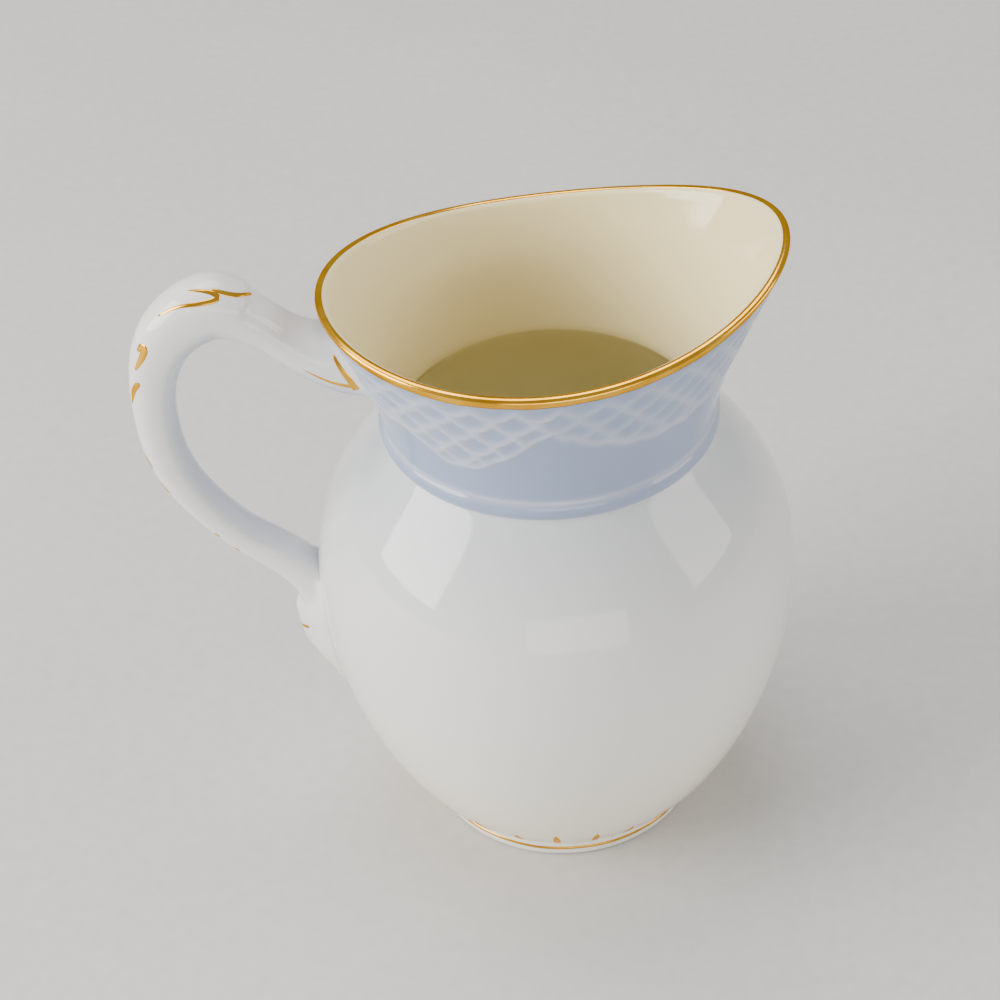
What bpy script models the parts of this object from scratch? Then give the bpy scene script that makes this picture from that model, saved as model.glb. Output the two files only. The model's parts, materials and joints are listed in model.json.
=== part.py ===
"""Porcelain cream jug: a cast body with a flared pouring lip, a turned foot ring, a loop handle and two gilt bands.

Metres, +Z up, the spout towards +X and the handle towards -X. The origin is under the middle of the whole jug,
on the surface it stands on. Everything below is first made about the body's own upright axis, then moved along X.
"""

import math
from collections import namedtuple

import bmesh
import bpy
from mathutils import Vector
from mathutils.geometry import interpolate_bezier

# Heights above the table
FOOT_HEIGHT = 0.0033
BELLY_HEIGHT = 0.0536
NECK_HEIGHT = 0.0875
LIP_RISE = 0.0300  # mean height of the lip above the base of the neck

# Radii and walls
FOOT_RADIUS = 0.0262
FOOT_BORE_RADIUS = 0.0222
SEAT_RADIUS = 0.0256  # where the belly starts, on top of the foot ring
BELLY_RADIUS = 0.0446
NECK_RADIUS = 0.0298
WALL = 0.0024
THROAT_WALL = 0.0026  # a little thicker where the neck is narrowest
LIP_THICKNESS = 0.0020

# Belly outline: each half is a superellipse arc, fuller or tighter by these powers
LOWER_ARC = (1.84, 1.27)
UPPER_ARC = (2.54, 0.85)

# Bead moulded round the base of the neck
BEAD_HEIGHT = 0.0035
BEAD_PROUD = 0.0005

# Lip seen from above: an egg drawn out towards the spout, its edge dipping at the two sides
LIP_HALF_LENGTH = 0.0410
LIP_HALF_WIDTH = 0.0321
LIP_SHIFT = 0.0030  # middle of the lip, forward of the body's axis
LIP_FULLNESS = -0.0016  # moves the widest place of the lip towards the spout
LIP_TAPER = 0.117  # narrows the front half and widens the back half
LIP_TILT = 0.0034  # spout end up, handle end down
LIP_DIP = 0.0028  # both ends up, both sides down
FLARE = 1.41  # how late the neck opens out on its way up

# Gilding, made thick enough to be a solid
BAND_WIDTH = 0.0025
BAND_SKIRT = 0.00055
BAND_CAP = 0.00075
EDGE_ROUND = 0.0005
FOOT_LINE_HEIGHT = 0.0012
FOOT_LINE_DEPTH = 0.0005
FOOT_LINE_RISE = 0.0021  # middle of the line, above the table
FOOT_CHAMFER = 0.0012
FOOT_CHAMFER_RISE = 0.0009

# Handle: DEPTH is its thickness in the plane of the loop, WIDTH its thickness across
HANDLE_REACH = 0.0733  # outermost face, behind the body's axis
HANDLE_REACH_ABOVE_NECK = 0.0071
HANDLE_DEPTH = 0.0074
HANDLE_WIDTH = 0.0077
SWEEP_OUT = 0.53  # where the loop leaves the belly, as shares of the way to its outermost place
SWEEP_UP = 0.455
SWEEP_DEPTH = 0.0064
TAIL_BELOW_BELLY = 0.0278  # tip of the leaf tail, under the widest ring
TAIL_DEPTH = 0.0024
TAIL_WIDTH = 0.0050
PALM_BELOW_BELLY = 0.0076  # thickest place of the lower root, under the widest ring
PALM_PROUD = 0.0009
PALM_DEPTH = 0.0082
PALM_WIDTH = 0.0170
THUMB_BELOW_LIP = 0.0006  # middle of the thumb rest, under the edge of the lip
THUMB_BEHIND_LIP = 0.0178
THUMB_DEPTH = 0.0098
THUMB_WIDTH = 0.0102
FALL = 0.58  # share of the way in from the thumb rest to the lip
FALL_BELOW_LIP = 0.0059
FALL_DEPTH = 0.0070
FALL_WIDTH = 0.0105
ROOT_BELOW_LIP = 0.0114
ROOT_PAST_LIP = 0.0146  # how far the uncut upper end runs in
ROOT_DEPTH = 0.0182
ROOT_WIDTH = 0.0175

# At each knot of the handle's centre line, leaf tail to upper root: degrees up from level towards the spout,
# and how far the line keeps to that direction before and after, as shares of the way to the next knot
HEADINGS = (108, 73, 130, 90, 15, -44, 30)
PULLS_IN = (0, 0.33, 0.27, 0.37, 0.41, 0.30, 0.41)
PULLS_OUT = (0.33, 0.44, 0.43, 0.36, 0.17, 0.38, 0)

JOINT_GAP = 0.0003  # clearance between pieces that touch
CUTTER_OVERRUN = 0.010  # how far the handle's cutter carries on over the mouth
SEGMENTS = 64
OUTER_ROWS = 17
INNER_ROWS = 14
BEAD_ROWS = 4
NECK_ROWS = 7
OUTER_WALL_REACH = 0.86  # share of the neck's height below the gilt band
INNER_WALL_REACH = 0.90
HANDLE_SIDES = 14
HANDLE_STEPS = 7  # rings between two knots of the handle's centre line

SPOUT_REACH = LIP_SHIFT + LIP_HALF_LENGTH + LIP_FULLNESS
LIP_BACK = LIP_HALF_LENGTH - LIP_SHIFT - LIP_FULLNESS
AXIS_X = 0.5 * (HANDLE_REACH - max(SPOUT_REACH, BELLY_RADIUS))
SEAT_HEIGHT = FOOT_HEIGHT + JOINT_GAP
NECK_START = NECK_HEIGHT + BEAD_HEIGHT

Knot = namedtuple("Knot", "place heading pull_in pull_out depth width")


def clear_scene():
    for thing in list(bpy.data.objects):
        bpy.data.objects.remove(thing, do_unlink=True)


def material(name, color, roughness, metallic=0.0):
    made = bpy.data.materials.new(name)
    made.use_nodes = True
    shader = made.node_tree.nodes["Principled BSDF"]
    shader.inputs["Base Color"].default_value = (*color, 1.0)
    shader.inputs["Roughness"].default_value = roughness
    shader.inputs["Metallic"].default_value = metallic
    return made


def blend(low, high, share):
    return low + (high - low) * share


def turns():
    """Angles of the columns round the jug, starting at the spout."""
    return [2 * math.pi * k / SEGMENTS for k in range(SEGMENTS)]


def ring(radius, height):
    return [Vector((radius * math.cos(a), radius * math.sin(a), height)) for a in turns()]


# ---- outline of the body ----


def superellipse(share, powers):
    """1 at share 0, falling to 0 at share 1 along a superellipse arc."""
    return max(0.0, 1.0 - share ** powers[0]) ** (1.0 / powers[1])


def outline_radius(height, foot, belly, neck):
    """Radius of a vessel outline at a height. foot, belly and neck are its (radius, height) landmarks."""
    if height < belly[1]:
        share = (belly[1] - height) / (belly[1] - foot[1])
        return blend(foot[0], belly[0], superellipse(share, LOWER_ARC))
    share = (height - belly[1]) / (neck[1] - belly[1])
    return blend(neck[0], belly[0], superellipse(share, UPPER_ARC))


OUTER = ((SEAT_RADIUS, SEAT_HEIGHT), (BELLY_RADIUS, BELLY_HEIGHT), (NECK_RADIUS, NECK_HEIGHT))
INNER = (
    (SEAT_RADIUS - WALL, SEAT_HEIGHT + WALL),
    (BELLY_RADIUS - WALL, BELLY_HEIGHT),
    (NECK_RADIUS - THROAT_WALL, NECK_HEIGHT - WALL / 2),
)


def outline_rings(landmarks, count):
    """Rings up a vessel outline, closer together towards the foot and the neck where it turns quickest."""
    low, high = landmarks[0][1], landmarks[2][1]
    rings = []
    for k in range(count):
        share = 0.5 - 0.5 * math.cos(math.pi * k / (count - 1))
        height = blend(low, high, share)
        rings.append(ring(outline_radius(height, *landmarks), height))
    return rings


# ---- the lip and the neck below it ----


def lip_point(angle):
    """Outer edge of the lip at one column."""
    x = LIP_SHIFT + LIP_HALF_LENGTH * math.cos(angle) + LIP_FULLNESS * math.cos(2 * angle)
    y = LIP_HALF_WIDTH * math.sin(angle) * (1 - LIP_TAPER * math.cos(angle))
    z = NECK_HEIGHT + LIP_RISE + LIP_TILT * math.cos(angle) + LIP_DIP * math.cos(2 * angle)
    return Vector((x, y, z))


def lip_normal(angle):
    """Level direction pointing straight out of the lip's edge."""
    step = 1e-4
    along = lip_point(angle + step) - lip_point(angle - step)
    return Vector((along.y, -along.x, 0)).normalized()


def neck_point(angle, depth, inset):
    """A point of the neck: depth straight down from the lip's edge, inset into the wall."""
    edge = lip_point(angle)
    share = 1 - depth / (edge.z - NECK_START)
    opened = share ** FLARE
    round_part = Vector((math.cos(angle), math.sin(angle), 0))
    start = round_part * (NECK_RADIUS - inset)
    end = edge - lip_normal(angle) * inset
    point = start.lerp(end, opened)
    point.z = edge.z - depth
    return point


def neck_ring(depth, inset):
    return [neck_point(a, depth, inset) for a in turns()]


def neck_rise_ring(share, inset):
    """A ring at one share of the way from the bead up to the lip."""
    rings = []
    for a in turns():
        height = lip_point(a).z - NECK_START
        rings.append(neck_point(a, height * (1 - share), inset))
    return rings


def bead_rings(count, grown=0.0):
    rings = []
    for k in range(1, count):
        share = k / count
        bulge = BEAD_PROUD * math.sin(math.pi * share)
        rings.append(ring(NECK_RADIUS + bulge + grown, NECK_HEIGHT + BEAD_HEIGHT * share))
    return rings


def neck_wall_rings(count, reach, inset):
    """Rings up the plain wall of the neck, as far as a share of its height that stops short of the lip."""
    return [neck_rise_ring(k / (count - 1) * reach, inset) for k in range(count)]


# ---- meshes ----


def skin(name, rings, closed, finish):
    """Joins rings of equal length into one body: a tube with flat ends or, when closed, a ring of rings."""
    mesh = bpy.data.meshes.new(name)
    shape = bmesh.new()
    rows = [[shape.verts.new(p) for p in points] for points in rings]
    pairs = list(zip(rows, rows[1:]))
    if closed:
        pairs.append((rows[-1], rows[0]))
    for below, above in pairs:
        for k, vert in enumerate(below):
            after = (k + 1) % len(below)
            shape.faces.new((vert, below[after], above[after], above[k]))
    if not closed:
        shape.faces.new(rows[0][::-1])
        shape.faces.new(rows[-1])
    bmesh.ops.recalc_face_normals(shape, faces=shape.faces)
    shape.to_mesh(mesh)
    shape.free()
    mesh.shade_smooth()
    mesh.set_sharp_from_angle(angle=math.radians(40))
    made = bpy.data.objects.new(name, mesh)
    bpy.context.collection.objects.link(made)
    if finish:
        mesh.materials.append(finish)
    return made


def jug_body(finish):
    """Belly, shoulder, bead, neck and pouring lip: one casting, open at the mouth."""
    seat_depth = BAND_CAP + JOINT_GAP
    seat_inset = BAND_SKIRT + JOINT_GAP
    skirt_end = BAND_WIDTH + JOINT_GAP
    rings = outline_rings(OUTER, OUTER_ROWS)
    rings += bead_rings(BEAD_ROWS)
    rings += neck_wall_rings(NECK_ROWS, OUTER_WALL_REACH, 0)
    rings.append(neck_ring(skirt_end, 0))
    rings.append(neck_ring(skirt_end, seat_inset))
    rings.append(neck_ring(seat_depth, seat_inset))
    rings.append(neck_ring(seat_depth, LIP_THICKNESS))
    rings += reversed(neck_wall_rings(NECK_ROWS, INNER_WALL_REACH, WALL))
    rings += reversed(outline_rings(INNER, INNER_ROWS))
    return skin("jug_body", rings, False, finish)


def foot_ring(finish):
    """Turned ring under the belly, with a groove round it for the gilt line."""
    groove_low = FOOT_LINE_RISE - FOOT_LINE_HEIGHT / 2 - JOINT_GAP
    groove_high = FOOT_LINE_RISE + FOOT_LINE_HEIGHT / 2 + JOINT_GAP
    groove_radius = FOOT_RADIUS - FOOT_LINE_DEPTH - JOINT_GAP
    outline = (
        (FOOT_BORE_RADIUS, 0),
        (FOOT_RADIUS - FOOT_CHAMFER, 0),
        (FOOT_RADIUS, FOOT_CHAMFER_RISE),
        (FOOT_RADIUS, groove_low),
        (groove_radius, groove_low),
        (groove_radius, groove_high),
        (FOOT_RADIUS, groove_high),
        (FOOT_RADIUS, FOOT_HEIGHT),
        (FOOT_BORE_RADIUS, FOOT_HEIGHT),
    )
    return skin("foot_ring", [ring(r, z) for r, z in outline], True, finish)


def foot_gilding(finish):
    """Gilt line seated in the foot ring's groove."""
    low = FOOT_LINE_RISE - FOOT_LINE_HEIGHT / 2
    high = FOOT_LINE_RISE + FOOT_LINE_HEIGHT / 2
    back = FOOT_RADIUS - FOOT_LINE_DEPTH
    outline = ((back, low), (FOOT_RADIUS, low), (FOOT_RADIUS, high), (back, high))
    return skin("foot_gilding", [ring(r, z) for r, z in outline], True, finish)


def rim_gilding(finish):
    """Gilt band that caps the lip and runs down its outer face."""
    section = (
        (BAND_WIDTH, 0),
        (EDGE_ROUND, 0),
        (0, EDGE_ROUND),
        (0, LIP_THICKNESS - EDGE_ROUND),
        (EDGE_ROUND, LIP_THICKNESS),
        (BAND_CAP, LIP_THICKNESS),
        (BAND_CAP, BAND_SKIRT),
        (BAND_WIDTH, BAND_SKIRT),
    )
    return skin("rim_gilding", [neck_ring(depth, inset) for depth, inset in section], True, finish)


# ---- handle ----


def handle_knots():
    """Knots of the centre line, leaf tail to upper root. A place is x and z, in the plane of the loop."""
    lip_height = lip_point(math.pi).z
    tail_height = BELLY_HEIGHT - TAIL_BELOW_BELLY
    palm_height = BELLY_HEIGHT - PALM_BELOW_BELLY
    tail = (-outline_radius(tail_height, *OUTER), tail_height)
    palm = (-outline_radius(palm_height, *OUTER) - PALM_PROUD, palm_height)
    far = (HANDLE_DEPTH / 2 - HANDLE_REACH, NECK_HEIGHT + HANDLE_REACH_ABOVE_NECK)
    sweep = (blend(palm[0], far[0], SWEEP_OUT), blend(palm[1], far[1], SWEEP_UP))
    thumb = (-LIP_BACK - THUMB_BEHIND_LIP, lip_height - THUMB_BELOW_LIP)
    fall = (blend(thumb[0], -LIP_BACK, FALL), lip_height - FALL_BELOW_LIP)
    root = (ROOT_PAST_LIP - LIP_BACK, lip_height - ROOT_BELOW_LIP)
    places = (tail, palm, sweep, far, thumb, fall, root)
    depths = (TAIL_DEPTH, PALM_DEPTH, SWEEP_DEPTH, HANDLE_DEPTH, THUMB_DEPTH, FALL_DEPTH, ROOT_DEPTH)
    widths = (TAIL_WIDTH, PALM_WIDTH, HANDLE_WIDTH, HANDLE_WIDTH, THUMB_WIDTH, FALL_WIDTH, ROOT_WIDTH)
    return [Knot(*values) for values in zip(places, HEADINGS, PULLS_IN, PULLS_OUT, depths, widths)]


def heading_vector(degrees):
    return Vector((math.cos(math.radians(degrees)), 0, math.sin(math.radians(degrees))))


def run_points(low, high):
    """Points of the centre line from one knot to the next."""
    start = Vector((low.place[0], 0, low.place[1]))
    end = Vector((high.place[0], 0, high.place[1]))
    reach = (end - start).length
    leave = start + heading_vector(low.heading) * reach * low.pull_out
    arrive = end - heading_vector(high.heading) * reach * high.pull_in
    return interpolate_bezier(start, leave, arrive, end, HANDLE_STEPS + 1)


def handle_rings():
    """Oval rings along the handle's centre line, square to it."""
    knots = handle_knots()
    rings = []
    for low, high in zip(knots, knots[1:]):
        points = run_points(low, high)
        for k in range(HANDLE_STEPS + (high is knots[-1])):
            share = k / HANDLE_STEPS
            ease = share * share * (3 - 2 * share)
            along = (points[min(k + 1, HANDLE_STEPS)] - points[max(k - 1, 0)]).normalized()
            outward = Vector((-along.z, 0, along.x)) * blend(low.depth, high.depth, ease) / 2
            across = Vector((0, blend(low.width, high.width, ease) / 2, 0))
            rings.append(oval(points[k], outward, across))
    return rings


def oval(centre, outward, across):
    angles = [2 * math.pi * k / HANDLE_SIDES for k in range(HANDLE_SIDES)]
    return [centre + outward * math.cos(a) + across * math.sin(a) for a in angles]


def body_envelope():
    """The body's outer shape grown by the joint gap: the cutter that fits the handle's roots to it."""
    grown = tuple((radius + JOINT_GAP, height) for radius, height in OUTER)
    rings = outline_rings(grown, OUTER_ROWS)
    rings += bead_rings(BEAD_ROWS, JOINT_GAP)
    rings += neck_wall_rings(NECK_ROWS, OUTER_WALL_REACH, -JOINT_GAP)
    rings += [neck_ring(depth, -JOINT_GAP) for depth in (BAND_WIDTH, EDGE_ROUND, 0)]
    rings.append([point + Vector((0, 0, CUTTER_OVERRUN)) for point in rings[-1]])
    cutter = skin("body_envelope", rings, False, None)
    cutter.hide_render = True
    cutter.display_type = "WIRE"
    return cutter


def handle(finish):
    """Loop handle: leaf tail and swelling root on the belly, a thumb rest at the top and a wide root under the lip."""
    made = skin("handle", handle_rings(), False, finish)
    cutter = body_envelope()
    cut = made.modifiers.new("seat on body", "BOOLEAN")
    cut.operation = "DIFFERENCE"
    cut.solver = "EXACT"
    cut.object = cutter
    return made, cutter


def main():
    clear_scene()
    glaze = material("glazed_porcelain", (0.70, 0.72, 0.74), 0.12)
    bare = material("foot_porcelain", (0.76, 0.73, 0.66), 0.30)
    gilt = material("bright_gilding", (0.80, 0.50, 0.14), 0.22, 1.0)
    axis = bpy.data.objects.new("jug_axis", None)
    bpy.context.collection.objects.link(axis)
    axis.location.x = AXIS_X
    loop, cutter = handle(glaze)
    pieces = [jug_body(glaze), foot_ring(bare), foot_gilding(gilt), rim_gilding(gilt), loop, cutter]
    for piece in pieces:
        piece.parent = axis


main()
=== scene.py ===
import json
import math
from collections import namedtuple

import bmesh
import bpy
import numpy as np
from mathutils import Matrix, Vector
from mathutils.bvhtree import BVHTree
from mathutils.geometry import interpolate_bezier
from mathutils.kdtree import KDTree

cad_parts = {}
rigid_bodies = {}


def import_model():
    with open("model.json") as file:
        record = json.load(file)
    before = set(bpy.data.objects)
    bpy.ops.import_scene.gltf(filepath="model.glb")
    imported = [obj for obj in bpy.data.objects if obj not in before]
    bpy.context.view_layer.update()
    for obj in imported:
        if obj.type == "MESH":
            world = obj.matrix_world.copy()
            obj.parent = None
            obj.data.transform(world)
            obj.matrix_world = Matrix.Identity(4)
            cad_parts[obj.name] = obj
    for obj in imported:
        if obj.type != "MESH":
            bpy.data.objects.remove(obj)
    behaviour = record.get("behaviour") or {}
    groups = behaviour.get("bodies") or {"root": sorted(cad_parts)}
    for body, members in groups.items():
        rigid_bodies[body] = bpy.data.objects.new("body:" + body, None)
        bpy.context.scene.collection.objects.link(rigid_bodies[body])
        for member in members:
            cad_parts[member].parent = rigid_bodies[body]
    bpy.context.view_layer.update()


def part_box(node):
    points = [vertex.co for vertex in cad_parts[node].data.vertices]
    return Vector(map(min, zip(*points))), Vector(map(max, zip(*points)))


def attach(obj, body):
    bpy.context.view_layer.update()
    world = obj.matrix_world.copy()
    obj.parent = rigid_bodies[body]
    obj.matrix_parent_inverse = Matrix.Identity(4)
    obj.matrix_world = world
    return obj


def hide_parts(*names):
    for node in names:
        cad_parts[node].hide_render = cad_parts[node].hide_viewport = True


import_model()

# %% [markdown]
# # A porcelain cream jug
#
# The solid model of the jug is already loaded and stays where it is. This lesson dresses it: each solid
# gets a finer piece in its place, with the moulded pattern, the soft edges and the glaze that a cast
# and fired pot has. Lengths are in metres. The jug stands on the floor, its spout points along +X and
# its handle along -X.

foot_low, foot_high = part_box("foot_ring")
axis_x = (foot_low.x + foot_high.x) / 2
MM = 0.001
print("body axis at x =", round(axis_x / MM, 2), "mm")

# %% [markdown]
# ## Colours and finishes
#
# Glaze is a glassy coat over white clay. It runs thick in hollows, where it looks bluer, and thin on
# ridges, where the clay shows through. A few nodes can say that: a mask chooses between two colours,
# and gentle noise keeps the surface from looking like plastic. To write the maths as maths, one small
# class wraps a socket, so that `1 - mask` or `mask * 0.3` adds the right node by itself.

# %% A socket that can be used in sums
# Some sockets share a name, so they are picked by their place in the node's list.
MIX_FACTOR, MIX_A, MIX_B, MIX_RESULT = 0, 6, 7, 2
PLACE_ON_PIECE = 3  # of Texture Coordinate: the point in the piece's own axes
PAINTED_NUMBER = 2  # of Attribute
HEIGHT_OUT = 2  # of Separate XYZ


class Wire:
    """An output socket of a material. Sums on it add Math nodes, and node() adds any other kind."""

    def __init__(self, tree, socket=None):
        self.tree = tree
        self.socket = socket

    def node(self, kind, settings=None, sockets=None, out=0):
        """Adds a node: its settings first, then the values or links of its sockets."""
        made = self.tree.nodes.new(kind)
        for name, value in (settings or {}).items():
            setattr(made, name, value)
        for place, value in (sockets or {}).items():
            if isinstance(value, Wire):
                self.tree.links.new(value.socket, made.inputs[place])
            else:
                made.inputs[place].default_value = value
        return Wire(self.tree, made.outputs[out])

    def math(self, operation, first, second=0.0):
        return self.node("ShaderNodeMath", {"operation": operation}, {0: first, 1: second})

    def __add__(self, other):
        return self.math("ADD", self, other)

    def __radd__(self, other):
        return self.math("ADD", other, self)

    def __sub__(self, other):
        return self.math("SUBTRACT", self, other)

    def __rsub__(self, other):
        return self.math("SUBTRACT", other, self)

    def __mul__(self, other):
        return self.math("MULTIPLY", self, other)

    def __rmul__(self, other):
        return self.math("MULTIPLY", other, self)

    def smooth(self, low, high):
        """0 below low and 1 above high, with an easy start and end."""
        limits = {"Value": self, "From Min": low, "From Max": high}
        return self.node("ShaderNodeMapRange", {"interpolation_type": "SMOOTHSTEP"}, limits)

    def mix(self, color_a, color_b):
        """color_a where this mask is 0, color_b where it is 1."""
        sockets = {MIX_FACTOR: self, MIX_A: color_a, MIX_B: color_b}
        return self.node("ShaderNodeMix", {"data_type": "RGBA"}, sockets, MIX_RESULT)


def rgb(red, green, blue):
    return (red, green, blue, 1.0)


# %% Starting and finishing a material
class Finish:
    """A new material, its place on the piece, and noise at a size given in millimetres."""

    def __init__(self, name):
        self.material = bpy.data.materials.new(name)
        self.material.use_nodes = True
        self.tree = self.material.node_tree
        self.shader = self.tree.nodes["Principled BSDF"]
        self.wire = Wire(self.tree)
        self.place = self.wire.node("ShaderNodeTexCoord", out=PLACE_ON_PIECE)

    def noise(self, size_mm, detail=3.0, stretch=(1, 1, 1)):
        stretched = {0: self.place, 1: stretch}
        place = self.wire.node("ShaderNodeVectorMath", {"operation": "MULTIPLY"}, stretched)
        sockets = {"Vector": place, "Scale": 1 / (size_mm * MM), "Detail": detail}
        return self.wire.node("ShaderNodeTexNoise", {}, sockets)

    def painted(self, name):
        """A number painted on the points of the mesh."""
        return self.wire.node("ShaderNodeAttribute", {"attribute_name": name}, out=PAINTED_NUMBER)

    def height(self):
        """Height above the floor, in metres."""
        return self.wire.node("ShaderNodeSeparateXYZ", {}, {0: self.place}, HEIGHT_OUT)

    def bump(self, height, depth_mm, strength):
        sockets = {"Height": height, "Distance": depth_mm * MM, "Strength": strength}
        return self.wire.node("ShaderNodeBump", {}, sockets)

    def set(self, **sockets):
        """Gives the shader's sockets their values or links, and returns the finished material."""
        for name, value in sockets.items():
            place = self.shader.inputs[name.replace("_", " ")]
            if isinstance(value, Wire):
                self.tree.links.new(value.socket, place)
            else:
                place.default_value = value
        return self.material


# %% [markdown]
# ### The outside glaze
#
# Outside, the clay is painted a brighter, warmer white towards the foot, as light bounced up from below
# would make it, and the glaze turns pale blue towards the neck. The mesh carries a number by name,
# painted further down: mostly how thick the glaze lies at each point, with a painted highlight along the
# bead and painted shade on the handle. It drives the blue, so the moulded scales show up in colour as
# well as in shade, which is how such a pattern reads on a real pot.

# %% Outside glaze
GLAZE_IOR = 1.52


def outside_glaze():
    finish = Finish("outside_glaze")
    cloud = finish.noise(26)
    fine = finish.noise(5, 4.0)
    glaze_pool_and_painted_light = finish.painted("glaze_pool_and_painted_light")
    # The attribute holds the glaze's pooling, with a painted highlight along the bead and painted shade on
    # the handle.
    depth = glaze_pool_and_painted_light + (cloud - 0.5) * 0.10 + (fine - 0.5) * 0.05
    # Painted light: the clay is brighter and warmer towards the foot, as light bounced up from below makes
    # it.
    bounce_fade = finish.height().smooth(0.008, 0.060)
    clay_and_bounce_light = bounce_fade.mix(rgb(0.94, 0.89, 0.74), rgb(0.85, 0.84, 0.80))
    blue = rgb(0.22, 0.30, 0.50)
    base = depth.smooth(0.0, 1.0).mix(clay_and_bounce_light, blue)
    orange_peel = finish.noise(9, 2.0) + fine * 0.12
    roughness = 0.045 + fine * 0.05
    waves = finish.bump(orange_peel, 0.05, 0.35)
    return finish.set(Base_Color=base, Roughness=roughness, Normal=waves, IOR=GLAZE_IOR)


glaze = outside_glaze()
print("made", glaze.name)

# %% [markdown]
# ### The inside glaze, the bare foot and the gold
#
# Inside, the glaze is ivory and turns a darker, greener straw lower down, painted shade deep in the jug.
# The ring that the jug stands on is wiped clean before firing, so it is duller, with tiny specks; its
# lowest edge is painted darker, as shade where it meets the floor. The gold is brushed on last: a thin
# metal film whose gloss changes along the brush strokes.

# %% Inside glaze
def inside_glaze():
    finish = Finish("inside_glaze")
    cloud = finish.noise(30)
    fine = finish.noise(6, 4.0)
    # Painted shade: lower inside the jug the ivory turns a darker, greener straw; cloud noise mottles it.
    deep = 1 - finish.height().smooth(0.020, 0.118)
    depth_shade_and_mottle = deep * 0.7 + (cloud - 0.5) * 0.2
    cream, shaded_straw = rgb(0.95, 0.82, 0.47), rgb(0.80, 0.80, 0.58)
    base = depth_shade_and_mottle.smooth(0.0, 1.0).mix(cream, shaded_straw)
    roughness = 0.06 + fine * 0.05
    waves = finish.bump(finish.noise(12, 2.0), 0.05, 0.35)
    return finish.set(Base_Color=base, Roughness=roughness, Normal=waves, IOR=GLAZE_IOR)


ivory = inside_glaze()
print("made", ivory.name)

# %% Bare foot and gold
def bare_foot():
    finish = Finish("bare_foot")
    speck = finish.noise(0.7, 5.0)
    cloud = finish.noise(6)
    # Painted shade: the lowest millimetre of the ring, where it meets the floor, is darkened; the same
    # band is also rougher.
    edge_shade_and_roughness = 1 - finish.height().smooth(0.0002, 0.0012)
    tone = speck.smooth(0.66, 0.72) * 0.5 + edge_shade_and_roughness * 0.45
    clean, floor_shade = rgb(0.84, 0.81, 0.74), rgb(0.52, 0.47, 0.40)
    base = tone.mix(clean, floor_shade)
    roughness = 0.16 + edge_shade_and_roughness * 0.4 + (cloud - 0.5) * 0.1
    return finish.set(Base_Color=base, Roughness=roughness, Normal=finish.bump(speck, 0.04, 0.3))


def brushed_gold():
    finish = Finish("brushed_gold")
    streak = finish.noise(1.6, 4.0, (0.35, 0.35, 3.0))
    cloud = finish.noise(7)
    deep_gold, bright_gold = rgb(0.76, 0.36, 0.02), rgb(0.92, 0.50, 0.05)
    base = cloud.smooth(0.3, 0.7).mix(deep_gold, bright_gold)
    roughness = 0.10 + streak * 0.16
    brushed = finish.bump(streak, 0.03, 0.4)
    edge_tint = rgb(1.0, 0.68, 0.25)
    return finish.set(
        Base_Color=base, Roughness=roughness, Metallic=1.0, Normal=brushed, Specular_Tint=edge_tint
    )


foot_clay = bare_foot()
gold = brushed_gold()
print("made", foot_clay.name, "and", gold.name)

# %% [markdown]
# ## The body's outline
#
# A pot like this is drawn as one curve and then turned. Each half of the belly here is a superellipse
# arc, a circle's arc that two powers make fuller or tighter. The lip isn't round: seen from above it is
# an egg, and its edge rises towards the spout. The neck blends from the round ring at its base to that
# edge.

# %% Sizes of the body
SEAT_HEIGHT = 3.6 * MM
SEAT_RADIUS = 25.6 * MM
BELLY_HEIGHT = 53.6 * MM
BELLY_RADIUS = 44.6 * MM
LOWER_ARC = (1.84, 1.27)  # the two powers of the arc under the widest place
NECK_HEIGHT = 87.5 * MM
NECK_RADIUS = 29.8 * MM
UPPER_ARC = (2.54, 0.85)  # and of the one over it
BEAD_HEIGHT = 3.5 * MM
BEAD_PROUD = 0.8 * MM
BEAD_POWER = 0.7  # under 1, the bead is squarer than a half round
NECK_START = NECK_HEIGHT + BEAD_HEIGHT
LIP_RISE = 30.0 * MM
LIP_HALF_LENGTH = 41.0 * MM
LIP_HALF_WIDTH = 32.1 * MM
LIP_SHIFT = 3.0 * MM
LIP_FULLNESS = -1.6 * MM
LIP_TAPER = 0.117
LIP_TILT = 3.4 * MM
LIP_DIP = 2.8 * MM
FLARE = 1.41  # over 1, the neck opens most near the lip
WALL = 2.4 * MM
WALL_SPARE = 0.2 * MM  # how much thicker the wall is from the neck down
LIP_THICKNESS = 2.0 * MM
LIP_ROUND = 0.9 * MM  # how far down the rounded top of the lip reaches


def belly_radius(z):
    """Radius of the belly and shoulder at a height."""
    low = np.clip((BELLY_HEIGHT - z) / (BELLY_HEIGHT - SEAT_HEIGHT), 0, 1)
    high = np.clip((z - BELLY_HEIGHT) / (NECK_HEIGHT - BELLY_HEIGHT), 0, 1)
    lower = (1 - low ** LOWER_ARC[0]) ** (1 / LOWER_ARC[1])
    upper = (1 - high ** UPPER_ARC[0]) ** (1 / UPPER_ARC[1])
    below = SEAT_RADIUS + (BELLY_RADIUS - SEAT_RADIUS) * lower
    above = NECK_RADIUS + (BELLY_RADIUS - NECK_RADIUS) * upper
    return np.where(z < BELLY_HEIGHT, below, above)


def bead_radius(z):
    share = np.clip((z - NECK_HEIGHT) / BEAD_HEIGHT, 0, 1)
    return NECK_RADIUS + BEAD_PROUD * np.sin(np.pi * share) ** BEAD_POWER


# %% The lip's edge and the neck under it
def round_part(turn):
    """Level directions out from the axis, of length 1."""
    return np.stack([np.cos(turn), np.sin(turn), np.zeros_like(turn)], -1)


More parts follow.
